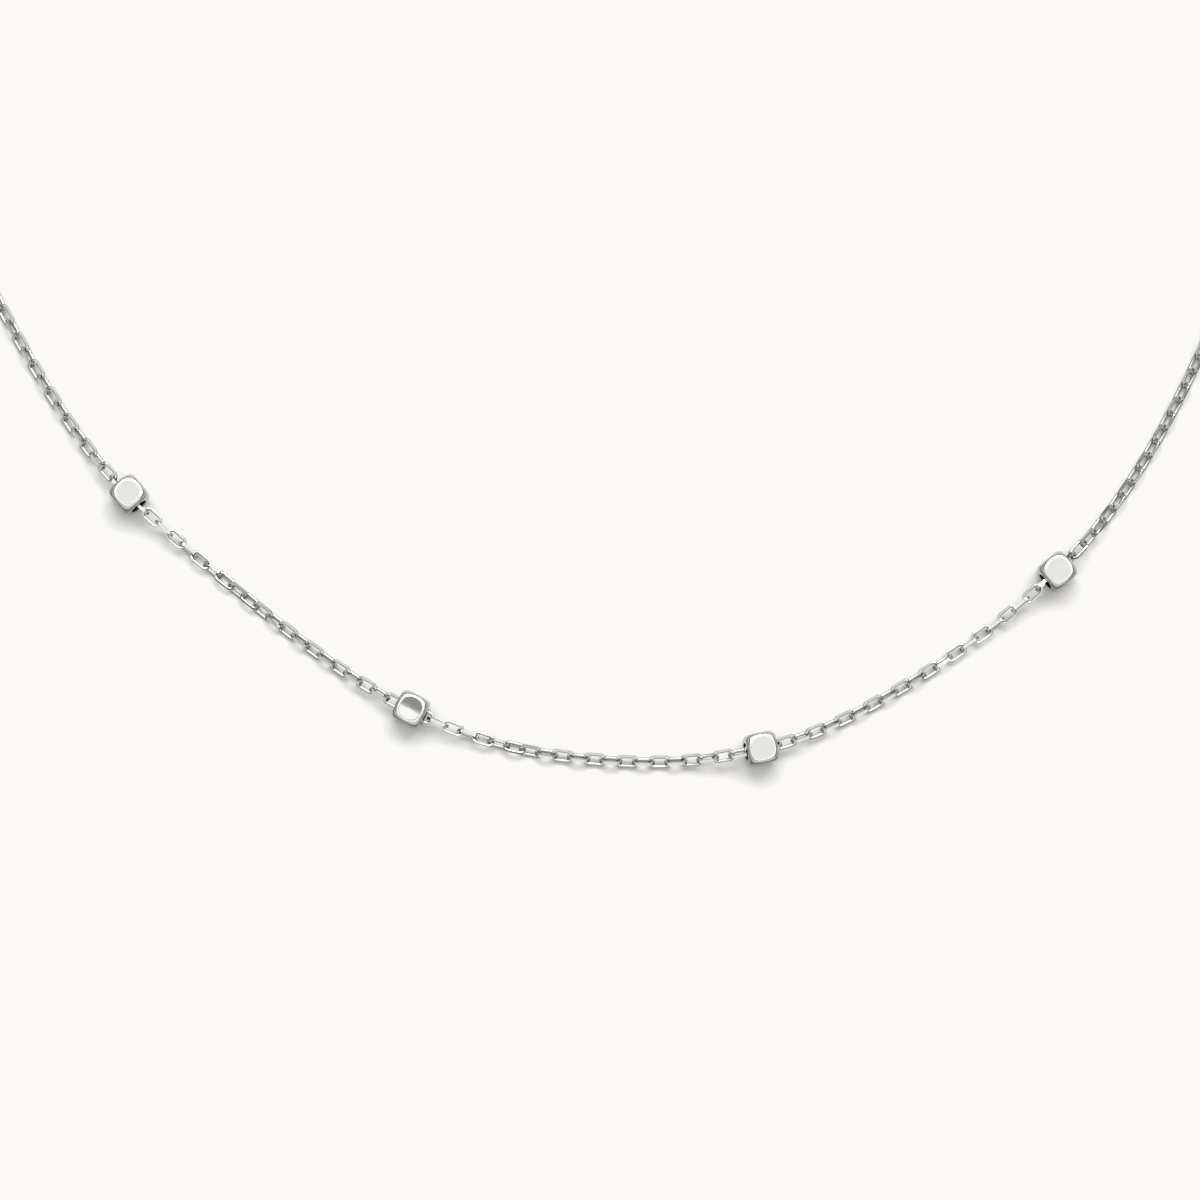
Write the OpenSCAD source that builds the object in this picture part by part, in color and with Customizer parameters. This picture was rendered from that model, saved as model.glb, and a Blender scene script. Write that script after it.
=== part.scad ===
// Station necklace: small mirror-cut cube beads strung along a fine cable chain,
// closed at the back by a ring clasp. It lies on a surface at z = 0 as one open loop.
// The front of the loop points to -Y. Sizes are in millimetres.

/* [Beads] */
// Number of beads, an even number so that half of them lie on each side of the front
bead_count = 12; // [8:2:14]
// Width of a bead between two opposite flat faces
bead_w = 3; // [2.6:0.1:3.6]
// Radius of the rounded edges between the flat faces
bead_round = 0.5; // [0.3:0.02:0.6]
// How far the corners of each flat face are rounded back from a square
bead_corner = 0.06; // [0.02:0.01:0.3]
// Space between the chain and the wall of the hole through a bead
bore_gap = 0.22; // [0.2:0.01:0.25]

/* [Chain] */
// Thickness of the round wire that the links are bent from
wire_d = 0.34; // [0.28:0.01:0.36]
// Width of the opening inside a link
link_open_w = 0.68; // [0.68:0.02:0.8]
// Distance from one link to the next
link_pitch = 1.56; // [1.4:0.02:1.8]
// Play between two linked wires
link_play = 0.13; // [0.12:0.01:0.15]
// Depth of the flat that is rolled all round the outer side of a link
link_band = 0.06; // [0.02:0.01:0.08]
// Depth of the straight cut along the outer side of a link's legs
link_flat = 0.08; // [0.06:0.01:0.1]
// Number of links from one bead to the next
gap_links = 22; // [16:1:26]
// Number of links from the last bead to the clasp
end_links = 23; // [12:1:40]

/* [Clasp] */
// Outside diameter of the clasp's ring
clasp_d = 5.5; // [4.5:0.1:7]
// Thickness of the clasp's tube
clasp_tube = 1.1; // [0.9:0.05:1.2]
// Inside diameter of the small eye that the left end of the chain hangs on
eye_hole = 1.2; // [1.1:0.05:1.6]
// Thickness of the eye's wire
eye_wire = 0.4; // [0.3:0.02:0.42]
// How deep the eye is sunk into the clasp's tube
eye_seat = 0.3; // [0.2:0.05:0.35]
// Diameter of the thumb knob on the clasp
knob_d = 0.7; // [0.5:0.05:0.8]
// How far the thumb knob stands out of the clasp's tube
knob_h = 0.5; // [0.3:0.05:0.8]

/* [End ring] */
// Inside diameter of the ring that the clasp hooks
ring_hole = 2.2; // [2.1:0.05:2.6]
// Thickness of the end ring's wire
ring_wire = 0.36; // [0.28:0.02:0.38]
// Space between the end ring and the clasp's tube inside it
ring_gap = 0.12; // [0.1:0.01:0.14]

/* [Hidden] */
// The way of the loop over the surface, from the front point to the right and round
ROUTE = [
    [-1.4, -76.5], [17.5, -75.3], [35.9, -65.5], [49.3, -53.2], [59.6, -35.2], [66.5, -14],
    [67, 11], [60.5, 37], [46.5, 59], [25, 73.5], [0, 78.5], [-25, 73.5], [-46.5, 59.5],
    [-60.5, 38], [-67.5, 13], [-68, -9], [-60.3, -27.7], [-49.5, -46], [-37, -58.3], [-18.5, -71.6]
];
// Slow twist of the chain: place along it from the front point, angle
TWIST = [
    [-9999, 90], [-190, 90], [-150, 45], [-58, 33], [-46, 0], [-40, -28], [-33, -50],
    [-28, -57], [-21, -57], [-16, -75], [-13, -88], [-10, -102], [-7, -122], [-3, -147],
    [33, -147], [41, -178], [47, -182], [57, -225], [150, -225], [190, -270], [9999, -270]
];
// How the four beads nearest the front lie on the chain, from the left: right end down, roll,
// turn to the left, and how far the bead has slid to the left beyond the others
LIES = [[-3, -2.5, -4, 0.3], [0, 0, -1, 0], [8, 2.3, -2, -0.3], [3.5, 2.7, -4, 0.2]];
// How far all the beads have slid to the left along the chain
bead_slide = 0.5;
route_steps = 24;
curve_fn = 48;
bead_fn = 96;
// Plain chain tube: sides, rings between two beads, and distance of the first from a ledge
tube_sides = 8;
tube_rings = 10;
tube_inset = 0.3;
// Drop of the chain from a bead: level stretch beside the bead, then length of the drop
ledge_run = 0.1;
drop_run = 8;
// Height that keeps the links off the surface where they twist
twist_lift = 0.018;
// Rise of the last links at the right end into the end ring, and how many links share it
hang_lift = 0.3;
hang_links = 3;
// Beads on each side of the front up to which the links are real, the rest is a plain tube
linked_beads = 3;
// Lean of the clasp inside the end ring, and place of the thumb knob around the clasp
ring_lean = 50;
knob_turn = 125;

// Bead: a cube with rounded edges, its corners rounded by a ball
bead_half = bead_w / 2;
face_half = bead_half - bead_round;
corner_r = norm([bead_half, face_half * sqrt(2) - bead_corner]);

// Link: two half rings joined by straight legs
leg_r = (link_open_w + wire_d) / 2;
band_out = wire_d / 2 - link_band;
flat_out = wire_d / 2 - link_flat;
link_half_w = leg_r + flat_out;
link_straight = link_pitch + link_play - link_open_w;
hook = (wire_d + link_play) / 2;
chain_r = norm([link_half_w, wire_d / 2]);
bore_r = chain_r + bore_gap;

// Places along the chain are counted in links from its left end at the clasp
half_beads = bead_count / 2;
link_count = (bead_count - 1) * gap_links + 2 * end_links;
gap_length = gap_links * link_pitch;
front_beads = [half_beads - linked_beads, half_beads + linked_beads - 1];
front_first = end_links + front_beads[0] * gap_links;
front_last = end_links + front_beads[1] * gap_links - 1;
ledge = bead_half + ledge_run;

function lie(i) = let (j = i - half_beads + len(LIES) / 2)
    j >= 0 && j < len(LIES) ? LIES[j] : [0, 0, 0, 0];
function bead_place(i) = (i - (bead_count - 1) / 2) * gap_length - bead_slide - lie(i)[3];
function link_place(k) = (k - link_count / 2) * link_pitch;
function nearest_bead(t) =
    max(0, min(bead_count - 1, round((t - bead_place(0)) / gap_length)));

// Height of a bead's middle that keeps it on the surface as it leans
function bead_z(i) = let (p = lie(i)[0], r = lie(i)[1])
    bead_round + face_half * (abs(sin(p)) + cos(p) * (abs(sin(r)) + cos(r)));

// 1 inside and beside a bead, easing down to 0 where the chain lies on the surface
function lifted(t) = let (
        away = abs(t - bead_place(nearest_bead(t))),
        u = min(1, max(0, (away - ledge) / drop_run)))
    1 - u * u * (3 - 2 * u);

// Height of the nearest bead's hole at a place, going level again beside the bead
function hole_z(t) = let (i = nearest_bead(t), along = t - bead_place(i))
    bead_z(i) - tan(lie(i)[0]) * min(ledge, max(-ledge, along));

// Roll of a link about the chain, and how far the chain's middle lies above the surface
function roll_at(t) = lookup(t, TWIST);
flat_half = sqrt(pow(wire_d / 2, 2) - pow(flat_out, 2));
function leg_drop(a) = leg_r * abs(sin(a)) + (wire_d / 2 * abs(sin(a)) < flat_out
    ? wire_d / 2
    : flat_out * abs(sin(a)) + flat_half * abs(cos(a)));
function rest_z(t) = max(leg_drop(roll_at(t)), leg_drop(roll_at(t) + 90)) + twist_lift;
function hung(t) = max(0, 1 + (t - link_place(link_count)) / (hang_links * link_pitch));
function chain_z(t) = rest_z(t) + (hole_z(t) - rest_z(t)) * lifted(t) + hang_lift * hung(t);

// Running total of the values before each one, with the whole total last
function running(v) =
    [for (i = 0, sum = 0; i <= len(v); sum = sum + (i < len(v) ? v[i] : 0), i = i + 1) sum];

// Way of each link's ends over the surface, shortened where the chain climbs
end_z = [for (k = [0:link_count]) chain_z(link_place(k))];
plan_steps = [for (k = [0:link_count - 1])
    sqrt(pow(link_pitch, 2) - pow(end_z[k + 1] - end_z[k], 2))];
plan_at = running(plan_steps);
plan_table = [for (k = [0:link_count])
    [link_place(k), plan_at[k] - plan_at[link_count / 2] + bead_slide]];

// Clasp along its own line: left end of the chain at the eye, right end at the end ring
clasp_r = (clasp_d - clasp_tube) / 2;
tube_r = clasp_tube / 2;
eye_r = (eye_hole + eye_wire) / 2;
ring_r = (ring_hole + ring_wire) / 2;
ring_z = ring_r + ring_wire / 2;
end_rest = rest_z(link_place(0));
// The clasp's tube sits low inside the end ring, a little towards its left side
tube_in_ring = ring_hole / 2 - tube_r - ring_gap;
tube_far_z = ring_z - tube_in_ring * cos(ring_lean);
clasp_tilt = asin((tube_far_z - tube_r) / (2 * clasp_r));
eye_x = hook - (eye_wire + wire_d) / 2 - link_play;
tube_near_x = eye_x + 2 * eye_r + eye_wire / 2 + tube_r - eye_seat;
tube_far_x = tube_near_x + 2 * clasp_r * cos(clasp_tilt);
ring_x = tube_far_x + tube_in_ring * sin(ring_lean);
// The last link hangs inside the end ring, clear of its wire, and ends the clasp's line
hang_r = ring_r - (ring_wire + wire_d) / 2 - link_play;
hang_drop = ring_z - chain_z(link_place(link_count));
clasp_span = ring_x + sqrt(pow(hang_r, 2) - pow(hang_drop, 2)) + hook;

// The loop's curve, scaled so that it is as long as the chain and the clasp together
plan_length = plan_at[link_count] + clasp_span;
function route_point(i) = ROUTE[(i + len(ROUTE)) % len(ROUTE)];
function blend(a, b, c, d, u) = (2 * b + (c - a) * u + (2 * a - 5 * b + 4 * c - d) * u * u
    + (3 * b - a - 3 * c + d) * u * u * u) / 2;
curve_open = [for (i = [0:len(ROUTE) - 1]) for (j = [0:route_steps - 1])
    blend(route_point(i - 1), route_point(i), route_point(i + 1), route_point(i + 2),
        j / route_steps)];
raw_curve = concat(curve_open, [curve_open[0]]);
raw_at = running([for (i = [1:len(raw_curve) - 1]) norm(raw_curve[i] - raw_curve[i - 1])]);
route_scale = plan_length / raw_at[len(raw_at) - 1];
x_table = [for (i = [0:len(raw_at) - 1]) [raw_at[i], raw_curve[i].x] * route_scale];
y_table = [for (i = [0:len(raw_at) - 1]) [raw_at[i], raw_curve[i].y] * route_scale];
function around(s) = s < 0 ? s + plan_length : s;
function on_route(s) = [lookup(around(s), x_table), lookup(around(s), y_table)];

// Ends of the links, and the line of the clasp
raw_ends = [for (k = [0:link_count]) on_route(plan_table[k][1])];
raw_left = raw_ends[0];
raw_right = raw_ends[link_count];
clasp_turn = atan2(raw_right.y - raw_left.y, raw_right.x - raw_left.x);
// Beads: place on the surface, and heading of the hole
function heading(t) = let (way = on_route(lookup(t + bead_half, plan_table))
    - on_route(lookup(t - bead_half, plan_table))) atan2(way.y, way.x);
raw_beads = [for (i = [0:bead_count - 1]) on_route(lookup(bead_place(i), plan_table))];
headings = [for (i = [0:bead_count - 1]) heading(bead_place(i))];

// The loop is centred on the origin, between its outermost beads, links and clasp
function off_square(a) = let (b = ((a % 90) + 90) % 90) min(b, 90 - b);
function bead_reach(i) = let (a = off_square(headings[i]))
    bead_round + face_half * (cos(a) + sin(a));
outer = concat(
    [for (i = [0:bead_count - 1]) for (side = [-1, 1]) raw_beads[i] + side * bead_reach(i) * [1, 1]],
    [for (p = raw_ends) for (side = [-1, 1]) p + side * link_half_w * [1, 1]],
    [(raw_left + raw_right) / 2 + clasp_d / 2 * [0, 1]]);
centre = [min([for (p = outer) p.x]) + max([for (p = outer) p.x]),
    min([for (p = outer) p.y]) + max([for (p = outer) p.y])] / 2;

function place(t) = let (p = on_route(lookup(t, plan_table)) - centre) [p.x, p.y, chain_z(t)];
ends = [for (k = [0:link_count]) let (p = raw_ends[k] - centre) [p.x, p.y, end_z[k]]];

function two_digits(n) = str(n < 10 ? "0" : "", n);
function bead_name(i) = str("bead_", two_digits(i + 1));

// A cube bead on its own centre, drilled along X
module bead_body() {
    difference() {
        intersection() {
            rounded_bar();
            rotate([90, 0, 0])
                rounded_bar();
            rotate([0, 90, 0])
                rounded_bar();
            sphere(r = corner_r, $fn = bead_fn);
        }
        rotate([0, 90, 0])
            cylinder(r = bore_r, h = bead_w + 1, center = true, $fn = bead_fn);
    }
}

// A square bar as long as it is wide, rounded along its four edges
module rounded_bar() {
    linear_extrude(bead_w, center = true) {
        square([bead_w, 2 * face_half], center = true);
        square([2 * face_half, bead_w], center = true);
        for (x = [-face_half, face_half]) for (y = [-face_half, face_half])
            translate([x, y])
                circle(bead_round, $fn = bead_fn);
    }
}

module bead(i) {
    at = raw_beads[i] - centre;
    color("gainsboro")
        translate([at.x, at.y, bead_z(i)])
            rotate([lie(i)[1], lie(i)[0], headings[i] + lie(i)[2]])
                bead_body();
}

// Cross section of a link's wire, its rolled flat towards +X
module link_section() {
    intersection() {
        circle(d = wire_d, $fn = curve_fn);
        translate([band_out - wire_d, -wire_d / 2])
            square(wire_d);
    }
}

// One link about its own middle, its length along X and its opening facing Z
module link_body() {
    intersection() {
        for (end = [-1, 1]) {
            translate([end * link_straight / 2, 0, 0])
                rotate(-90 * end)
                    rotate_extrude(angle = 180, $fn = curve_fn)
                        translate([leg_r, 0])
                            link_section();
            translate([0, end * leg_r, 0])
                rotate([90, 0, 90])
                    linear_extrude(link_straight, center = true)
                        rotate(90 - 90 * end)
                            link_section();
        }
        cube([link_straight + 4 * leg_r, 2 * link_half_w, 2 * wire_d], center = true);
    }
}

// Link number k, lying between its two ends
module link(k) {
    a = ends[k];
    b = ends[k + 1];
    way = b - a;
    translate((a + b) / 2)
        rotate([90 * (k % 2) + roll_at((link_place(k) + link_place(k + 1)) / 2),
                -asin(way.z / norm(way)), atan2(way.y, way.x)])
            link_body();
}

module chain_front() {
    color("silver")
        for (k = [front_first:front_last])
            link(k);
}

// Places of the tube's rings between two beads, close to the beads and evenly between
function ring_places(i) = let (inset = ledge + tube_inset) [for (j = [0:tube_rings - 1])
    bead_place(i) + inset + j * (gap_length - 2 * inset) / (tube_rings - 1)];
function kept(v, low, high) = [for (t = v) if (t > low && t < high) t];

// A tube along the chain's way through rings at the places in ts
module chain_tube(ts) {
    r = link_half_w / cos(180 / tube_sides);
    rings = [for (t = ts) let (
            p = place(t),
            way = place(t + hook) - place(t - hook),
            side = [-way.y, way.x, 0] / norm([way.x, way.y]),
            mid_z = link_half_w + (hole_z(t) - link_half_w) * lifted(t))
        [for (j = [0:tube_sides - 1]) let (a = (j + 0.5) * 360 / tube_sides)
            [p.x, p.y, mid_z] + r * cos(a) * side + [0, 0, r * sin(a)]]];
    points = [for (ring = rings) for (p = ring) p];
    walls = [for (i = [0:len(rings) - 2]) for (j = [0:tube_sides - 1]) let (
            a = i * tube_sides + j,
            b = i * tube_sides + (j + 1) % tube_sides)
        each [[a, b, b + tube_sides], [a, b + tube_sides, a + tube_sides]]];
    first = [for (j = [tube_sides - 1:-1:0]) j];
    last = [for (j = [0:tube_sides - 1]) (len(rings) - 1) * tube_sides + j];
    polyhedron(points, concat(walls, [first, last]));
}

module chain_back() {
    clear = hook + wire_d / 2 + link_play;
    left_low = link_place(1) - hook;
    left_high = link_place(front_first) - clear;
    right_low = link_place(front_last + 1) + clear;
    right_high = link_place(link_count - 1) + hook;
    left = [for (i = [-1:front_beads[0] - 1])
        each kept(ring_places(i), left_low, left_high)];
    right = [for (i = [front_beads[1]:bead_count - 1])
        each kept(ring_places(i), right_low, right_high)];
    color("silver") {
        chain_tube(concat([left_low], left, [left_high]));
        link(0);
        chain_tube(concat([right_low], right, [right_high]));
        link(link_count - 1);
    }
}

// A round wire ring about Z
module wire_ring(r, d) {
    rotate_extrude($fn = curve_fn)
        translate([r, 0])
            circle(d = d, $fn = curve_fn);
}

// Puts a piece on the clasp's line, measured from the left end of the chain
module on_clasp_line() {
    translate([ends[0].x, ends[0].y, 0])
        rotate(clasp_turn)
            children();
}

module clasp() {
    color("gainsboro")
        on_clasp_line() {
            translate([tube_near_x, 0, tube_r])
                rotate([0, -clasp_tilt, 0])
                    translate([clasp_r, 0, 0]) {
                        wire_ring(clasp_r, clasp_tube);
                        rotate(knob_turn)
                            translate([clasp_r, 0, 0])
                                rotate([0, 90, 0])
                                    cylinder(d = knob_d, h = tube_r + knob_h, $fn = curve_fn);
                    }
            translate([eye_x + eye_r, 0, end_rest])
                wire_ring(eye_r, eye_wire);
        }
}

module end_ring() {
    color("silver")
        on_clasp_line()
            translate([ring_x, 0, ring_z])
                rotate([90, 0, 0])
                    wire_ring(ring_r, ring_wire);
}

for (i = [0:bead_count - 1])
    bead(i);
chain_front();
chain_back();
clasp();
end_ring();
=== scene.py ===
import math

import bmesh
import bpy
import numpy as np
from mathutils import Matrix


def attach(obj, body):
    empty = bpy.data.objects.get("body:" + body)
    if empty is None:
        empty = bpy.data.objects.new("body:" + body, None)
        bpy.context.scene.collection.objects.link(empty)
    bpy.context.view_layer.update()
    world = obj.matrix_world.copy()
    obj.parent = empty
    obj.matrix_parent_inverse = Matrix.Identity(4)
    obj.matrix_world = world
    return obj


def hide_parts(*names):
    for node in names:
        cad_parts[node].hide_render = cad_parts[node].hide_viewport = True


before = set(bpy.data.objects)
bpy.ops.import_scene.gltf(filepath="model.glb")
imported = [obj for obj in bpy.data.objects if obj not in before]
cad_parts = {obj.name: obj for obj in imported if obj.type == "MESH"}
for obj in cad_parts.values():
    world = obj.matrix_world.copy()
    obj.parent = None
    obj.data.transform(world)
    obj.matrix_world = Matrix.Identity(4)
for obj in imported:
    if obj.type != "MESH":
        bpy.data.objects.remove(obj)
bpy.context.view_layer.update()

# Sizes are in millimetres and angles in degrees, the same as in the part's source
mm = 0.001  # in metres

# Beads
bead_count = 12
bead_w = 3.0  # between two opposite facets
bead_round = 0.5  # radius of the rounded edges
bore_gap = 0.22  # space between the chain and the wall of the hole

# Chain
wire_d = 0.34
link_open_w = 0.68
link_pitch = 1.56
link_play = 0.13  # between two linked wires
link_band = 0.06  # depth of the flat that is rolled all round the outer side of a link
link_flat = 0.08  # depth of the straight cut along the outer side of a link's legs
gap_links = 22  # from one bead to the next
end_links = 23  # from the last bead to the clasp
linked_beads = 3  # beads on each side of the front up to which the front chain goes

# Clasp, with the eye and the thumb knob on it
clasp_d = 5.5
clasp_tube = 1.1
eye_hole = 1.2
eye_wire = 0.4
eye_seat = 0.3  # how deep the eye is sunk into the clasp's tube
knob_d = 0.7
knob_h = 0.5
knob_turn = 125.0  # place of the knob around the clasp

# End ring that the clasp hooks
ring_hole = 2.2
ring_wire = 0.36
ring_gap = 0.12  # space between the end ring and the clasp's tube inside it
ring_lean = 50.0  # how far the clasp's tube sits round the inside of the ring

# How the chain leaves a bead, lies on the table and hangs in the end ring
ledge_run = 0.1  # level stretch beside a bead
drop_run = 8.0  # length of the drop from a bead's hole to the table
twist_lift = 0.018  # keeps the links off the table where they twist
hang_lift = 0.3  # rise of the last links into the end ring
hang_links = 3  # how many links share that rise

# The way of the loop over the table, from the front point to the right and round
ROUTE = [
    (-1.4, -76.5), (17.5, -75.3), (35.9, -65.5), (49.3, -53.2), (59.6, -35.2), (66.5, -14),
    (67, 11), (60.5, 37), (46.5, 59), (25, 73.5), (0, 78.5), (-25, 73.5), (-46.5, 59.5),
    (-60.5, 38), (-67.5, 13), (-68, -9), (-60.3, -27.7), (-49.5, -46), (-37, -58.3), (-18.5, -71.6),
]
# Slow twist of the chain: place along it from the front point, angle
TWIST = [
    (-9999, 90), (-190, 90), (-150, 45), (-58, 33), (-46, 0), (-40, -28), (-33, -50),
    (-28, -57), (-21, -57), (-16, -75), (-13, -88), (-10, -102), (-7, -122), (-3, -147),
    (33, -147), (41, -178), (47, -182), (57, -225), (150, -225), (190, -270), (9999, -270),
]
# How the four beads nearest the front lie on the chain, from the left: right end down, roll,
# turn to the left, and slide to the left
LIES = [(-3, -2.5, -4, 0.3), (0, 0, -1, 0), (8, 2.3, -2, -0.3), (3.5, 2.7, -4, 0.2)]
bead_slide = 0.5  # how far all the beads have slid to the left along the chain
route_steps = 24  # of the loop's curve, from one point of the route to the next

bead_half = bead_w / 2
face_half = bead_half - bead_round
half_beads = bead_count // 2
wire_r = wire_d / 2
leg_r = (link_open_w + wire_d) / 2
band_out = wire_r - link_band
flat_out = wire_r - link_flat
flat_half = math.sqrt(wire_r ** 2 - flat_out ** 2)
link_half_w = leg_r + flat_out
link_straight = link_pitch + link_play - link_open_w
hook = (wire_d + link_play) / 2
bore_r = math.hypot(link_half_w, wire_r) + bore_gap

link_count = (bead_count - 1) * gap_links + 2 * end_links
gap_length = gap_links * link_pitch
front_first = end_links + (half_beads - linked_beads) * gap_links
front_last = end_links + (half_beads + linked_beads - 1) * gap_links - 1
ledge = bead_half + ledge_run


# How the chain lies, by the rules that the solids follow. t is a place along the chain from the
# front point, and i a bead's number from the left end of the chain

def lie(i):
    j = i - half_beads + len(LIES) // 2
    return LIES[j] if 0 <= j < len(LIES) else (0, 0, 0, 0)


def bead_place(i):
    return (i - (bead_count - 1) / 2) * gap_length - bead_slide - lie(i)[3]


def link_place(k):
    return (k - link_count / 2) * link_pitch


def nearest_bead(t):
    return max(0, min(bead_count - 1, math.floor((t - bead_place(0)) / gap_length + 0.5)))


def bead_z(i):
    """Height of a bead's middle that keeps it on the table as it leans."""
    p, r = math.radians(lie(i)[0]), math.radians(lie(i)[1])
    lean = abs(math.sin(p)) + math.cos(p) * (abs(math.sin(r)) + math.cos(r))
    return bead_round + face_half * lean


def roll_at(t):
    spots, angles = zip(*TWIST)
    return np.interp(t, spots, angles)


def lifted(t):
    """1 inside and beside a bead, easing down to 0 where the chain lies on the table."""
    away = abs(t - bead_place(nearest_bead(t)))
    u = min(1, max(0, (away - ledge) / drop_run))
    return 1 - u * u * (3 - 2 * u)


def hole_z(t):
    """Height of the nearest bead's hole, going level again beside the bead."""
    i = nearest_bead(t)
    slope = math.tan(math.radians(lie(i)[0]))
    return bead_z(i) - slope * min(ledge, max(-ledge, t - bead_place(i)))


def leg_drop(angle):
    """How far a link's lowest point is below the chain's middle, by the link's roll."""
    across, along = abs(math.sin(math.radians(angle))), abs(math.cos(math.radians(angle)))
    if wire_r * across < flat_out:
        return leg_r * across + wire_r
    return leg_r * across + flat_out * across + flat_half * along


def rest_z(t):
    """Height of the chain's middle where it lies on the table."""
    return max(leg_drop(roll_at(t)), leg_drop(roll_at(t) + 90)) + twist_lift


def chain_z(t):
    hung = max(0, 1 + (t - link_place(link_count)) / (hang_links * link_pitch))
    return rest_z(t) + (hole_z(t) - rest_z(t)) * lifted(t) + hang_lift * hung


def blend_curve(points, steps):
    """A closed curve through the points, with this many steps from one to the next."""
    curve = []
    for i in range(len(points)):
        a, b, c, d = (np.array(points[(i + k) % len(points)], float) for k in (-1, 0, 1, 2))
        for j in range(steps):
            u = j / steps
            curve.append((2 * b + (c - a) * u + (2 * a - 5 * b + 4 * c - d) * u * u
                          + (3 * b - a - 3 * c + d) * u ** 3) / 2)
    return np.array(curve + [curve[0]])


# Ends of the links: places along the chain, heights, and way over the table, shorter on a climb
places = np.array([link_place(k) for k in range(link_count + 1)])
end_z = np.array([chain_z(t) for t in places])
plan_steps = np.sqrt(link_pitch ** 2 - np.diff(end_z) ** 2)
plan_at = np.concatenate([[0], np.cumsum(plan_steps)])

# The clasp's own line, from the left end of the chain to the right end
clasp_r = (clasp_d - clasp_tube) / 2
tube_r = clasp_tube / 2
eye_r = (eye_hole + eye_wire) / 2
ring_r = (ring_hole + ring_wire) / 2
ring_z = ring_r + ring_wire / 2
tube_in_ring = ring_hole / 2 - tube_r - ring_gap
tube_far_z = ring_z - tube_in_ring * math.cos(math.radians(ring_lean))
clasp_tilt = math.asin((tube_far_z - tube_r) / (2 * clasp_r))
eye_x = hook - (eye_wire + wire_d) / 2 - link_play
tube_near_x = eye_x + 2 * eye_r + eye_wire / 2 + tube_r - eye_seat
tube_far_x = tube_near_x + 2 * clasp_r * math.cos(clasp_tilt)
ring_x = tube_far_x + tube_in_ring * math.sin(math.radians(ring_lean))
hang_r = ring_r - (ring_wire + wire_d) / 2 - link_play
clasp_span = ring_x + math.sqrt(hang_r ** 2 - (ring_z - end_z[-1]) ** 2) + hook

# The loop's curve, scaled so that it is as long as the chain and the clasp together
plan_length = plan_at[-1] + clasp_span
raw_curve = blend_curve(ROUTE, route_steps)
raw_at = np.concatenate([[0], np.cumsum(np.linalg.norm(np.diff(raw_curve, axis=0), axis=1))])
route_scale = plan_length / raw_at[-1]


def on_route(s):
    """Place over the table at this way along the loop from the front point."""
    s = s + plan_length if s < 0 else s
    return np.array([np.interp(s, raw_at * route_scale, raw_curve[:, k] * route_scale) for k in (0, 1)])


def plan_of(t):
    """Way along the loop from the front point to a place along the chain."""
    return np.interp(t, places, plan_at) - plan_at[link_count // 2] + bead_slide


def heading(t):
    """Direction of a bead's hole over the table."""
    way = on_route(plan_of(t + bead_half)) - on_route(plan_of(t - bead_half))
    return math.atan2(way[1], way[0])


def bead_reach(i):
    """How far a bead reaches from its middle along X, and as far along Y."""
    a = headings[i] % (math.pi / 2)
    return bead_round + face_half * (math.cos(a) + math.sin(a))


raw_ends = np.array([on_route(plan_of(t)) for t in places])
raw_beads = [on_route(plan_of(bead_place(i))) for i in range(bead_count)]
headings = [heading(bead_place(i)) for i in range(bead_count)]

# The loop is centred between its outermost beads, links and clasp
outer = np.array(
    [raw_beads[i] + side * bead_reach(i) for i in range(bead_count) for side in (-1, 1)]
    + [p + side * link_half_w for p in raw_ends for side in (-1, 1)]
    + [(raw_ends[0] + raw_ends[-1]) / 2 + np.array([0, clasp_d / 2])])
centre = (outer.min(axis=0) + outer.max(axis=0)) / 2
ends = np.column_stack([raw_ends - centre, end_z])
bead_spots = [p - centre for p in raw_beads]


def turned(roll=0.0, pitch=0.0, yaw=0.0):
    """Turns about X, then nose up, then about Z, in radians."""
    cr, sr, cp, sp = math.cos(roll), math.sin(roll), math.cos(pitch), math.sin(pitch)
    cy, sy = math.cos(yaw), math.sin(yaw)
    about_x = np.array([[1, 0, 0], [0, cr, -sr], [0, sr, cr]])
    about_y = np.array([[cp, 0, -sp], [0, 1, 0], [sp, 0, cp]])
    about_z = np.array([[cy, -sy, 0], [sy, cy, 0], [0, 0, 1]])
    return about_z @ about_y @ about_x


def make_piece(name, verts, faces, finishes, sharp_over, slot, *nodes):
    """finishes holds each face's place in the piece's list of materials. Edges that turn by more
    than sharp_over degrees look sharp."""
    mesh = bpy.data.meshes.new(name)
    mesh.from_pydata((np.asarray(verts) * mm).tolist(), [], faces)
    mesh.polygons.foreach_set("material_index", finishes)
    mesh.shade_smooth()
    mesh.set_sharp_from_angle(angle=math.radians(sharp_over))
    piece = bpy.data.objects.new(name, mesh)
    bpy.context.scene.collection.objects.link(piece)
    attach(piece, "root")
    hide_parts(*nodes)
    return piece


def grid_faces(rows, cols, close_rows=True, close_cols=True, start=0):
    faces = []
    for i in range(rows if close_rows else rows - 1):
        for j in range(cols if close_cols else cols - 1):
            a, b = i * cols + j, i * cols + (j + 1) % cols
            c, d = (i + 1) % rows * cols + (j + 1) % cols, (i + 1) % rows * cols + j
            faces.append((start + a, start + d, start + c, start + b))
    return faces


# Chain

# Fineness of a link: steps round each bend, steps along each leg, sides of the wire
FRONT_LINK = (14, 2, 20)
BACK_LINK = (10, 1, 12)
# Angle over which their edges look sharp, in degrees
front_link_sharp = 30
back_link_sharp = 40
# Room for rounding in a link's sums
tiny = 1e-6


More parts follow.
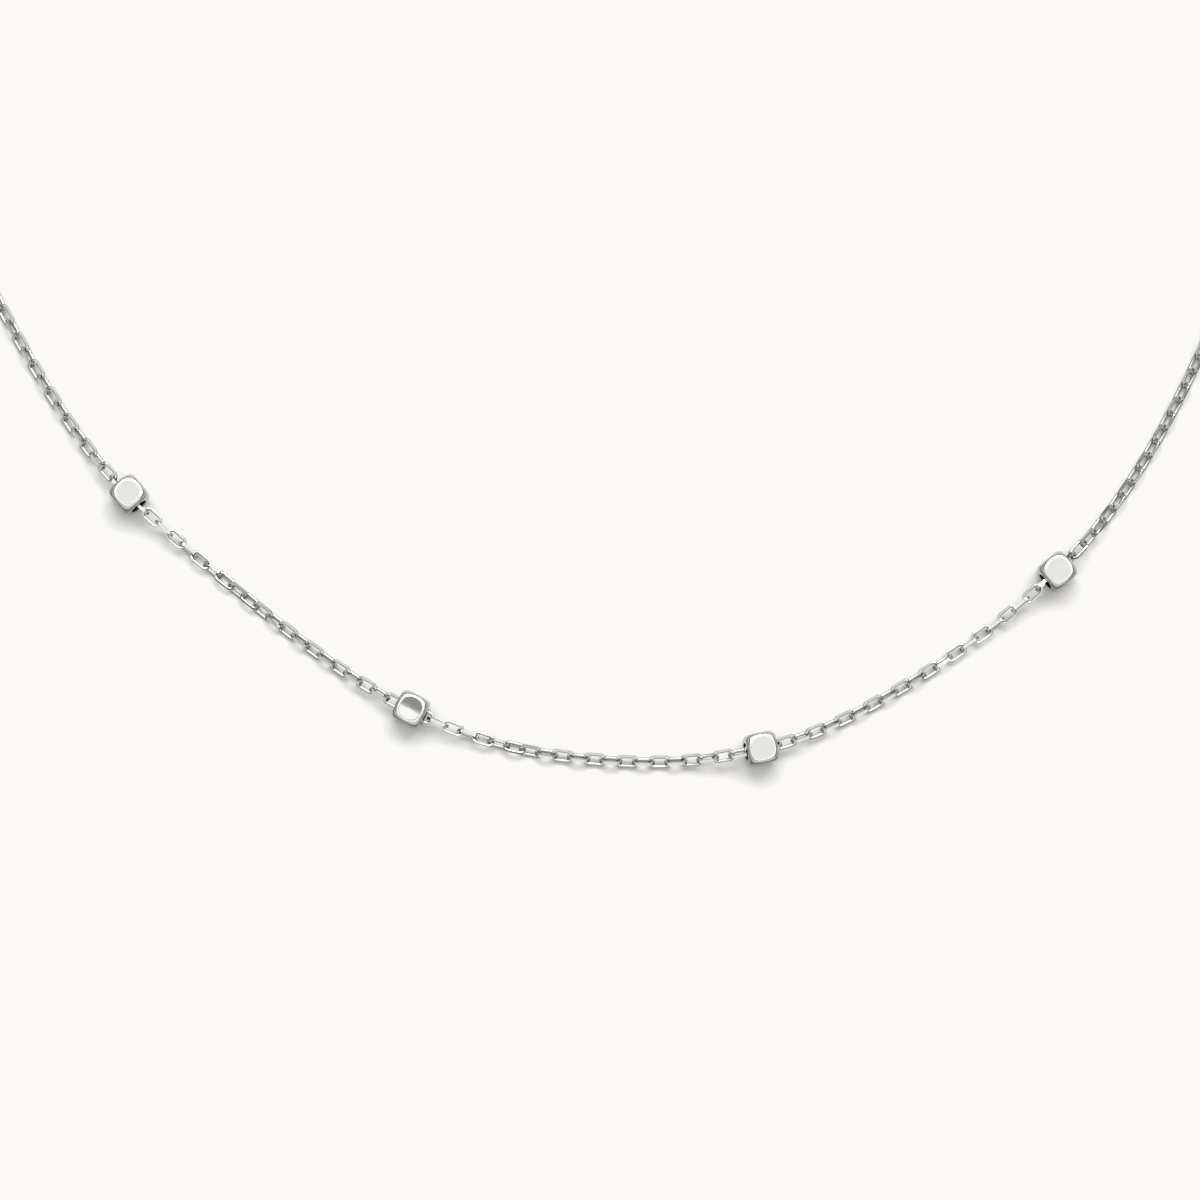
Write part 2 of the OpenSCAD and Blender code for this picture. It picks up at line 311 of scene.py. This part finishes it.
def link_shape(bend_steps, leg_steps, sides):
    """One link about its own middle, its opening facing Z, flat outside and cut along both legs.
    Its finishes are 1 on the cuts and 0 on the rest of the wire."""
    cut_end = math.acos(link_half_w / (leg_r + band_out))
    bend = [0.0] + [cut_end + (math.pi - 2 * cut_end) * j / bend_steps for j in range(bend_steps + 1)]
    stations = []
    for end, start in ((1, -math.pi / 2), (-1, math.pi / 2)):
        stations += [(end * link_straight / 2, start + a) for a in bend]
        stations += [(end * link_straight * (0.5 - j / leg_steps), start + math.pi)
                     for j in range(leg_steps)]
    rings, cut_here = [], []
    for x, a in stations:
        out = np.array([math.cos(a), math.sin(a), 0])
        flat = min(band_out, link_half_w / max(abs(out[1]), tiny) - leg_r)
        cut_here.append(abs(out[1]) > math.cos(cut_end) - tiny)
        flat_edge = math.acos(flat / wire_r)
        rest = 2 * math.pi - 2 * flat_edge
        for phi in [-flat_edge] + [flat_edge + rest * j / (sides - 1) for j in range(sides - 1)]:
            p = np.array([x, 0, 0]) + (leg_r + wire_r * math.cos(phi)) * out
            p[1] = min(link_half_w, max(-link_half_w, p[1]))
            p[2] = wire_r * math.sin(phi)
            rings.append(p)
    finishes = [int(j == 0 and cut_here[i] and cut_here[(i + 1) % len(stations)])
                for i in range(len(stations)) for j in range(sides)]
    return np.array(rings), grid_faces(len(stations), sides), finishes


def chain_links(numbers, shape):
    """The links with these numbers along the chain, each one turned a quarter on the last."""
    base, faces, finishes = shape
    verts, all_faces = [], []
    for k in numbers:
        a, b = ends[k], ends[k + 1]
        way = b - a
        roll = math.radians(90 * (k % 2) + roll_at((link_place(k) + link_place(k + 1)) / 2))
        turn = turned(roll, math.asin(way[2] / np.linalg.norm(way)), math.atan2(way[1], way[0]))
        start = len(verts) * len(base)
        verts.append(base @ turn.T + (a + b) / 2)
        all_faces.extend(tuple(v + start for v in f) for f in faces)
    return np.vstack(verts), all_faces, finishes * len(verts)


def make_chain(name, numbers, fineness, sharp_over, node):
    links = chain_links(numbers, link_shape(*fineness))
    return make_piece(name, *links, sharp_over, "chain_metal", node)


# Beads

# Sides of a bead: the axis that each one faces, then the two in its plane. The first of two
# sides with the same axis faces along it, and the second one against it
BEAD_SIDES = [(2, 0, 1), (2, 1, 0), (0, 1, 2), (0, 2, 1), (1, 2, 0), (1, 0, 2)]
# Finishes, by their place in a bead's list of materials
EDGE, FACET, BORE = 0, 1, 2
facet_spokes = 72
# Rim of a flat facet: how far out it is at its sides, and its roundness, where 2 is a circle and
# more is squarer
rim_half = 1.09
rim_power = 2.3
# Steps out over a facet, and over the edge round it, as shares of the way
FACET_STEPS = (0.02, 0.2, 0.4, 0.6, 0.8, 0.95)
EDGE_STEPS = (0.0, 0.08, 0.2, 0.33, 0.46, 0.58, 0.7, 0.8, 0.9, 1.0)
# Hole: heights of its wall's steps, its softened mouth as steps out and the depth of the first,
# and the step over the flat round it as a share of the way to the rim
BORE_STEPS = (0.0, 0.6, bead_half - 0.05)
MOUTH_STEPS = (0.02, 0.045)
mouth_depth = 0.015
drilled_step = 0.7
# Hollow of a bead's top facet in degrees at its rim, by the bead's number, and of the other beads
TOP_DISHES = {5: 0.3, 6: 1.5, 7: -0.3, 8: 0.2}
plain_dish = 0.1
# Angle over which a bead's edges look sharp, in degrees
bead_sharp = 25
# Points of a bead closer than this are one
weld_gap = 1e-4


def bead_spoke(angle, hollow, drilled):
    """Points of one side from its middle out over its edge, as two in its plane and a height."""
    ca, sa = math.cos(angle), math.sin(angle)
    rim = rim_half * (abs(ca) ** rim_power + abs(sa) ** rim_power) ** (-1 / rim_power)
    out = math.atan2(sa * abs(sa) ** (rim_power - 2), ca * abs(ca) ** (rim_power - 2))

    def put(r, height, way=angle):
        return np.array([r * math.cos(way), r * math.sin(way), height])

    def on_facet(r):
        return put(r, bead_half + hollow * ((r / rim) ** 2 - 1))

    if drilled:
        spoke = [put(bore_r, height) for height in BORE_STEPS]
        spoke += [put(bore_r + MOUTH_STEPS[0], bead_half - mouth_depth), on_facet(bore_r + MOUTH_STEPS[1])]
        spoke += [on_facet(bore_r + drilled_step * (rim - bore_r))]
    else:
        spoke = [on_facet(step * rim) for step in FACET_STEPS]
    # The edge turns over with a radius that grows towards the corners of the cube
    turn_r = bead_half - rim * max(abs(ca), abs(sa))
    tilt_end = math.atan(1 / max(abs(math.cos(out)), abs(math.sin(out))))
    for step in EDGE_STEPS:
        tilt = tilt_end * step
        spoke.append(put(rim, bead_half - turn_r) + turn_r * put(math.sin(tilt), math.cos(tilt), out))
    return spoke


def bead_shape(dishes):
    """A drilled cube bead, its hole along X. dishes holds the hollow of a side, by its number."""
    verts, faces, finishes = [], [], []
    for number, (w, u, v) in enumerate(BEAD_SIDES):
        facing = 1 if number % 2 == 0 else -1
        hollow = math.tan(math.radians(dishes.get(number, 0.0))) * rim_half / 2
        drilled = w == 0
        bands = [BORE] * len(BORE_STEPS) + [EDGE, FACET, FACET] if drilled else [FACET] * len(FACET_STEPS)
        bands += [EDGE] * (len(EDGE_STEPS) - 1)
        start, cols = len(verts), len(bands) + 1
        for j in range(facet_spokes):
            for p in bead_spoke(2 * math.pi * j / facet_spokes, hollow, drilled):
                q = np.zeros(3)
                q[u], q[v], q[w] = p[0], p[1], facing * p[2]
                verts.append(q)
        faces += [f[::-1] for f in grid_faces(facet_spokes, cols, True, False, start)]
        finishes += bands * facet_spokes
        if not drilled:
            faces.append(tuple(start + j * cols for j in range(facet_spokes)))
            finishes.append(FACET)
    return np.array(verts), faces, finishes


def joined(verts, faces, finishes):
    """Welds points that lie on each other."""
    bm = bmesh.new()
    made = [bm.verts.new(p) for p in verts]
    for f, finish in zip(faces, finishes):
        bm.faces.new([made[i] for i in f]).material_index = finish
    bmesh.ops.remove_doubles(bm, verts=bm.verts, dist=weld_gap)
    bmesh.ops.recalc_face_normals(bm, faces=bm.faces)
    bm.verts.index_update()
    points = np.array([tuple(v.co) for v in bm.verts])
    walls = [tuple(v.index for v in f.verts) for f in bm.faces]
    finishes = [f.material_index for f in bm.faces]
    bm.free()
    return points, walls, finishes


def make_bead(i):
    verts, faces, finishes = joined(*bead_shape({0: TOP_DISHES.get(i + 1, plain_dish)}))
    down, roll, turn = (math.radians(angle) for angle in lie(i)[:3])
    verts = verts @ turned(roll, -down, headings[i] + turn).T + np.array([*bead_spots[i], bead_z(i)])
    number = f"{i + 1:02d}"
    return make_piece(
        f"cube_bead_{number}", verts, faces, finishes, bead_sharp, "bead_metal", f"bead_{number}")


# Clasp and end ring

# Fineness of a ring: steps round it, and sides of its tube or wire
TUBE_RING = (120, 32)
WIRE_RING = (64, 20)
# Thumb knob: its sides, radius and steps of its soft edge, and radius that its end closes to
knob_sides = 32
knob_soft = 0.08
knob_steps = 5
knob_tip = 0.01
# Angle over which the edges of the clasp and the ring look sharp, in degrees
clasp_sharp = 50
# Heading of the clasp's own line
clasp_turn = math.atan2(*(ends[-1] - ends[0])[[1, 0]])


def ring_shape(radius, thick, steps, sides):
    verts = []
    for i in range(steps):
        a = 2 * math.pi * i / steps
        for j in range(sides):
            b = 2 * math.pi * j / sides
            r = radius + thick / 2 * math.cos(b)
            verts.append((r * math.cos(a), r * math.sin(a), thick / 2 * math.sin(b)))
    return np.array(verts), grid_faces(steps, sides)


def knob_shape():
    """The thumb knob along X, from the middle of the clasp's tube outwards."""
    knob_r = knob_d / 2
    end = clasp_r + tube_r + knob_h
    profile = [(clasp_r, knob_r), (end - knob_soft, knob_r)]
    for j in range(1, knob_steps + 1):
        a = math.pi / 2 * j / knob_steps
        profile.append((end - knob_soft + knob_soft * math.sin(a),
                        knob_r - knob_soft + knob_soft * math.cos(a)))
    profile.append((end, knob_tip))
    verts = []
    for x, r in profile:
        for j in range(knob_sides):
            b = 2 * math.pi * j / knob_sides
            verts.append((x, r * math.cos(b), r * math.sin(b)))
    return np.array(verts), grid_faces(len(profile), knob_sides, False, True)


def put_together(*shapes):
    verts, faces, start = [], [], 0
    for v, f in shapes:
        verts.append(v)
        faces.extend(tuple(i + start for i in face) for face in f)
        start += len(v)
    return np.vstack(verts), faces


def on_clasp_line(verts):
    """Puts a shape on the clasp's line, measured from the left end of the chain."""
    return verts @ turned(yaw=clasp_turn).T + np.array([ends[0][0], ends[0][1], 0])


def make_clasp():
    knob, knob_faces = knob_shape()
    knob = knob @ turned(yaw=math.radians(knob_turn)).T
    body, body_faces = put_together(ring_shape(clasp_r, clasp_tube, *TUBE_RING), (knob, knob_faces))
    body = (body + np.array([clasp_r, 0, 0])) @ turned(pitch=clasp_tilt).T
    body = body + np.array([tube_near_x, 0, tube_r])
    eye, eye_faces = ring_shape(eye_r, eye_wire, *WIRE_RING)
    eye = eye + np.array([eye_x + eye_r, 0, rest_z(places[0])])
    verts, faces = put_together((body, body_faces), (eye, eye_faces))
    finishes = [0] * len(faces)
    return make_piece(
        "ring_clasp", on_clasp_line(verts), faces, finishes, clasp_sharp, "clasp_metal", "clasp")


def make_end_ring():
    verts, faces = ring_shape(ring_r, ring_wire, *WIRE_RING)
    verts = verts @ turned(roll=math.pi / 2).T + np.array([ring_x, 0, ring_z])
    finishes = [0] * len(faces)
    return make_piece(
        "clasp_end_ring", on_clasp_line(verts), faces, finishes, clasp_sharp, "clasp_metal", "end_ring")


# Materials

# Polishing marks: detail of the broad and the fine ones, how fine the broad ones are beside the
# fine ones, and the least roughness that they leave
broad_detail = 2.0
fine_detail = 3.0
broad_share = 0.25
least_roughness = 0.02
noise_middle = 0.5


def grey(level):
    return (level, level, level, 1)


def new_material(name):
    material = bpy.data.materials.new(name)
    material.use_nodes = True
    return material, material.node_tree, material.node_tree.nodes["Principled BSDF"]


def new_group(name, inputs, outputs):
    """A node group with these sockets, as pairs of name and kind, and its two end nodes."""
    group = bpy.data.node_groups.new(name, "ShaderNodeTree")
    for way, sockets in (("INPUT", inputs), ("OUTPUT", outputs)):
        for socket, kind in sockets:
            group.interface.new_socket(name=socket, in_out=way, socket_type="NodeSocket" + kind)
    return group, group.nodes.new("NodeGroupInput").outputs, group.nodes.new("NodeGroupOutput").inputs


def calc(tree, kind, a, b=None):
    """A value worked out from one or two others, each a number or another node's output."""
    node = tree.nodes.new("ShaderNodeMath")
    node.operation = kind
    for socket, value in zip(node.inputs, (a, b)):
        if isinstance(value, (int, float)):
            socket.default_value = value
        elif value is not None:
            tree.links.new(value, socket)
    return node.outputs[0]


def noise(tree, place, scale, detail):
    node = tree.nodes.new("ShaderNodeTexNoise")
    node.inputs["Detail"].default_value = detail
    tree.links.new(place, node.inputs["Vector"])
    tree.links.new(scale, node.inputs["Scale"])
    return node.outputs["Fac"]


def fill_ramp(ramp, steps):
    """Gives a colour ramp its greys, from pairs of place and level."""
    while len(ramp.elements) < len(steps):
        ramp.elements.new(0.5)
    for step, (place, level) in zip(ramp.elements, steps):
        step.position = place
        step.color = grey(level)


def polish_group():
    """Fine traces of polishing: a little lighter and darker, rougher and smoother over the metal."""
    group, given, put = new_group(
        "polish_marks",
        (("Position", "Vector"), ("Colour", "Color"), ("Shade", "Float"), ("Roughness", "Float"),
         ("Roughness Change", "Float"), ("Mark Size", "Float")),
        (("Colour", "Color"), ("Roughness", "Float"), ("Height", "Float")))
    links = group.links
    scale = calc(group, "DIVIDE", 1.0, given["Mark Size"])
    broad = noise(group, given["Position"], calc(group, "MULTIPLY", scale, broad_share), broad_detail)
    fine = noise(group, given["Position"], scale, fine_detail)
    lighter = calc(group, "MULTIPLY", calc(group, "SUBTRACT", broad, noise_middle), given["Shade"])
    tone = group.nodes.new("ShaderNodeHueSaturation")
    links.new(given["Colour"], tone.inputs["Color"])
    links.new(calc(group, "ADD", 1.0, lighter), tone.inputs["Value"])
    links.new(tone.outputs["Color"], put["Colour"])
    uneven = calc(group, "SUBTRACT", fine, noise_middle)
    rougher = calc(group, "MULTIPLY", uneven, given["Roughness Change"])
    roughness = calc(group, "ADD", given["Roughness"], rougher)
    links.new(calc(group, "MAXIMUM", roughness, least_roughness), put["Roughness"])
    links.new(fine, put["Height"])
    return group


polish_marks = polish_group()


def white_gold(name, colour, shade, roughness, roughness_change, mark_size, depth):
    """shade and roughness_change say how far the marks go, mark_size and depth are in mm."""
    material, tree, shader = new_material(name)
    place = tree.nodes.new("ShaderNodeTexCoord")
    marks = tree.nodes.new("ShaderNodeGroup")
    marks.node_tree = polish_marks
    tree.links.new(place.outputs["Object"], marks.inputs["Position"])
    marks.inputs["Colour"].default_value = (*colour, 1)
    marks.inputs["Shade"].default_value = shade
    marks.inputs["Roughness"].default_value = roughness
    marks.inputs["Roughness Change"].default_value = roughness_change
    marks.inputs["Mark Size"].default_value = mark_size * mm
    bump = tree.nodes.new("ShaderNodeBump")
    bump.inputs["Strength"].default_value = 1.0
    bump.inputs["Distance"].default_value = depth * mm
    tree.links.new(marks.outputs["Height"], bump.inputs["Height"])
    tree.links.new(marks.outputs["Colour"], shader.inputs["Base Color"])
    tree.links.new(marks.outputs["Roughness"], shader.inputs["Roughness"])
    tree.links.new(bump.outputs["Normal"], shader.inputs["Normal"])
    shader.inputs["Metallic"].default_value = 1.0
    return material


def paint(piece, *materials):
    for material in materials:
        piece.data.materials.append(material)


facet_gold = white_gold(
    "mirror_cut_white_gold", (0.65, 0.652, 0.658),
    shade=0.06, roughness=0.05, roughness_change=0.02, mark_size=0.5, depth=0.00015)
edge_gold = white_gold(
    "tumbled_white_gold", (0.62, 0.622, 0.627),
    shade=0.14, roughness=0.22, roughness_change=0.14, mark_size=0.20, depth=0.003)
# The hole's wall is nearly black: painted shade of the inside of the hole, on a rough drilled finish
bore_gold_with_painted_shade = white_gold(
    "drilled_white_gold_painted_shade", (0.06, 0.06, 0.061),
    shade=0.30, roughness=0.42, roughness_change=0.20, mark_size=0.12, depth=0.004)
wire_gold = white_gold(
    "drawn_white_gold_wire", (0.52, 0.522, 0.527),
    shade=0.10, roughness=0.12, roughness_change=0.08, mark_size=0.14, depth=0.002)
cut_gold = white_gold(
    "cut_white_gold_wire", (0.67, 0.672, 0.678),
    shade=0.05, roughness=0.07, roughness_change=0.04, mark_size=0.2, depth=0.0006)
clasp_gold = white_gold(
    "polished_white_gold", (0.65, 0.652, 0.658),
    shade=0.08, roughness=0.09, roughness_change=0.06, mark_size=0.4, depth=0.002)


# Floor, light and camera

# Table: its radius and how far it lies under the necklace, in metres
table_radius = 3
table_drop = 0.00001
table_sides = 128
paper_white = 0.588
paper_glow = 0.02
# Painted shade in reflections: how dark the metal mirrors the paper, by the angle between the mirrored ray
# and light_way: 0 is along it and 1 is square to it. So the paper is darkest towards the front, but only
# as the metal mirrors it
MIRRORED_PAPER_PAINTED_SHADE = [(0.0, 0.10), (0.45, 0.18), (0.62, 0.78), (1.0, 0.78)]
light_way = (-0.211, -0.453, 0.866)
# Level of the painted dark glow that takes the paper's place in the metal's reflections
mirrored_paper_shade_level = 0.04

# Brightness of the tent round the table, by the sine of the height above it
TENT = [
    (0.0, 0.75), (0.30, 0.75), (0.40, 0.12), (0.67, 0.12), (0.72, 1.30), (0.76, 1.75), (0.88, 1.75),
    (0.92, 1.27), (1.0, 1.27),
]
# What the camera sees behind the table's edge
backdrop_white = 1.1
# Heading of the width of the lamp and the card overhead
overhead_turn = -28
# A panel shows only where at least this share of the direction goes towards it
least_ahead = 0.001


def above(x, y):
    """Azimuth and elevation of a place overhead, x and y degrees off the vertical."""
    return math.degrees(math.atan2(y, x)), 90 - math.hypot(x, y)


# Panels of the tent: name, azimuth from +X, elevation, heading of the panel's width or None for
# level, half width, half height and soft edge as shares of the distance, strength
PANELS = [
    ("key", 80, 56, None, 0.50, 0.20, 0.08, 9.0),
    ("front", 278, 27, None, 0.95, 0.15, 0.06, 1.15),
    ("left", 208, 28, None, 0.50, 0.11, 0.05, 0.9),
    ("lamp", *above(-0.4, 9.5), overhead_turn, 0.105, 0.045, 0.02, 1.6),
    ("card", *above(-3.4, 3.8), overhead_turn, 0.105, 0.061, 0.006, 0.42),
]

# Camera: height of the view above the table in degrees, the point in the middle and the width
# that it takes in, in millimetres
camera_elevation = 82.0
view_middle = (0.56, -62.67, 0.5)
view_width = 115.8
lens_mm = 180.0
sensor_mm = 36.0
# Nearest and furthest that the camera sees, in metres
camera_near = 0.01
camera_far = 20

# The paper is overexposed: what is brighter than white is all of this one pale tone
pale_tone = (0.956, 0.947, 0.913)


def make_floor():
    bpy.ops.mesh.primitive_circle_add(
        vertices=table_sides, radius=table_radius, fill_type="NGON", location=(0, 0, -table_drop))
    floor = bpy.context.object
    floor.name = "pale_table"
    material, tree, shader = new_material("pale_paper")
    shader.inputs["Base Color"].default_value = grey(paper_white)
    shader.inputs["Roughness"].default_value = 1.0
    shader.inputs["Specular IOR Level"].default_value = 0.0
    shader.inputs["Emission Color"].default_value = grey(1)
    shader.inputs["Emission Strength"].default_value = paper_glow
    # Painted reflection: rays mirrored by the metal find the paper replaced by a dark glow, more of it by
    # angle; other rays see the lit paper
    seen = tree.nodes.new("ShaderNodeLightPath")
    facing = tree.nodes.new("ShaderNodeLayerWeight")
    facing.inputs["Blend"].default_value = 0.5
    tilted = tree.nodes.new("ShaderNodeCombineXYZ")
    for socket, value in zip(tilted.inputs, light_way):
        socket.default_value = value
    tree.links.new(tilted.outputs["Vector"], facing.inputs["Normal"])
    fade = tree.nodes.new("ShaderNodeValToRGB")
    fill_ramp(fade.color_ramp, MIRRORED_PAPER_PAINTED_SHADE)
    tree.links.new(facing.outputs["Facing"], fade.inputs["Fac"])
    painted_mirror_shade = tree.nodes.new("ShaderNodeEmission")
    painted_mirror_shade.inputs["Color"].default_value = grey(mirrored_paper_shade_level)
    choose = tree.nodes.new("ShaderNodeMixShader")
    painted_mirror_darkness = calc(tree, "MULTIPLY", seen.outputs["Is Glossy Ray"], fade.outputs["Color"])
    tree.links.new(painted_mirror_darkness, choose.inputs["Fac"])
    tree.links.new(shader.outputs["BSDF"], choose.inputs[1])
    tree.links.new(painted_mirror_shade.outputs["Emission"], choose.inputs[2])
    tree.links.new(choose.outputs[0], tree.nodes["Material Output"].inputs["Surface"])
    paint(floor, material)


def softbox_group():
    """Mask of a softbox seen in the direction given: 1 inside it, 0 outside."""
    group, given, put = new_group(
        "softbox",
        (("Direction", "Vector"), ("Towards", "Vector"), ("Side", "Vector"), ("Top", "Vector"),
         ("Half Width", "Float"), ("Half Height", "Float"), ("Softness", "Float")),
        (("Mask", "Float"),))

    def along(axis):
        node = group.nodes.new("ShaderNodeVectorMath")
        node.operation = "DOT_PRODUCT"
        group.links.new(given["Direction"], node.inputs[0])
        group.links.new(given[axis], node.inputs[1])
        return node.outputs["Value"]

    ahead = along("Towards")
    depth = calc(group, "MAXIMUM", ahead, least_ahead)
    mask = calc(group, "GREATER_THAN", ahead, least_ahead)
    for axis, half in (("Side", "Half Width"), ("Top", "Half Height")):
        ease = group.nodes.new("ShaderNodeMapRange")
        ease.interpolation_type = "SMOOTHSTEP"
        away = calc(group, "ABSOLUTE", calc(group, "DIVIDE", along(axis), depth))
        group.links.new(away, ease.inputs["Value"])
        group.links.new(given[half], ease.inputs["From Min"])
        group.links.new(calc(group, "ADD", given[half], given["Softness"]), ease.inputs["From Max"])
        ease.inputs["To Min"].default_value = 1.0
        ease.inputs["To Max"].default_value = 0.0
        mask = calc(group, "MULTIPLY", mask, ease.outputs["Result"])
    group.links.new(mask, put["Mask"])
    return group


def make_studio():
    world = bpy.data.worlds.new("studio")
    bpy.context.scene.world = world
    world.use_nodes = True
    nodes, links = world.node_tree.nodes, world.node_tree.links
    nodes.clear()
    direction = nodes.new("ShaderNodeTexCoord").outputs["Generated"]
    height = nodes.new("ShaderNodeSeparateXYZ")
    links.new(direction, height.inputs[0])
    tent = nodes.new("ShaderNodeValToRGB")
    fill_ramp(tent.color_ramp, TENT)
    links.new(height.outputs["Z"], tent.inputs["Fac"])
    light = tent.outputs["Color"]
    softbox = softbox_group()
    for name, azimuth, elevation, width_heading, half_w, half_h, edge, strength in PANELS:
        a, e = math.radians(azimuth), math.radians(elevation)
        towards = np.array([math.cos(a) * math.cos(e), math.sin(a) * math.cos(e), math.sin(e)])
        side = np.array([-math.sin(a), math.cos(a), 0])
        turn = 0 if width_heading is None else math.radians(width_heading) - a - math.pi / 2
        across = math.cos(turn) * side + math.sin(turn) * np.cross(towards, side)
        panel = nodes.new("ShaderNodeGroup")
        panel.node_tree = softbox
        panel.label = name
        links.new(direction, panel.inputs["Direction"])
        panel.inputs["Towards"].default_value = towards
        panel.inputs["Side"].default_value = across
        panel.inputs["Top"].default_value = np.cross(towards, across)
        panel.inputs["Half Width"].default_value = half_w
        panel.inputs["Half Height"].default_value = half_h
        panel.inputs["Softness"].default_value = edge
        mix = nodes.new("ShaderNodeMix")
        mix.data_type = "RGBA"
        links.new(panel.outputs["Mask"], mix.inputs["Factor"])
        links.new(light, mix.inputs["A"])
        mix.inputs["B"].default_value = grey(strength)
        light = mix.outputs["Result"]
    studio = nodes.new("ShaderNodeBackground")
    links.new(light, studio.inputs["Color"])
    backdrop = nodes.new("ShaderNodeBackground")
    backdrop.inputs["Color"].default_value = grey(backdrop_white)
    seen = nodes.new("ShaderNodeLightPath")
    choose = nodes.new("ShaderNodeMixShader")
    links.new(seen.outputs["Is Camera Ray"], choose.inputs["Fac"])
    links.new(studio.outputs["Background"], choose.inputs[1])
    links.new(backdrop.outputs["Background"], choose.inputs[2])
    out = nodes.new("ShaderNodeOutputWorld")
    links.new(choose.outputs[0], out.inputs["Surface"])


def make_camera():
    data = bpy.data.cameras.new("photo_camera")
    data.lens = lens_mm
    data.sensor_width = sensor_mm
    data.clip_start = camera_near
    data.clip_end = camera_far
    camera = bpy.data.objects.new("photo_camera", data)
    bpy.context.scene.collection.objects.link(camera)
    away = view_width * mm * lens_mm / sensor_mm
    e = math.radians(camera_elevation)
    middle = np.array(view_middle) * mm
    camera.location = middle + away * np.array([0, -math.cos(e), math.sin(e)])
    camera.rotation_euler = (math.radians(90) - e, 0, 0)
    bpy.context.scene.camera = camera


def set_exposure():
    view = bpy.context.scene.view_settings
    view.view_transform = "Standard"
    view.use_curve_mapping = True
    view.curve_mapping.extend = "HORIZONTAL"
    for curve, level in zip(view.curve_mapping.curves, pale_tone):
        curve.points[1].location = (1, level)
    view.curve_mapping.update()


front_numbers = range(front_first, front_last + 1)
back_numbers = [*range(front_first), *range(front_last + 1, link_count)]
front_chain = make_chain("cable_chain_front", front_numbers, FRONT_LINK, front_link_sharp, "chain_front")
back_chain = make_chain("cable_chain_back", back_numbers, BACK_LINK, back_link_sharp, "chain_back")
paint(front_chain, wire_gold, cut_gold)
paint(back_chain, wire_gold, cut_gold)
for i in range(bead_count):
    paint(make_bead(i), edge_gold, facet_gold, bore_gold_with_painted_shade)
paint(make_clasp(), clasp_gold)
paint(make_end_ring(), clasp_gold)

make_floor()
make_studio()
make_camera()
set_exposure()
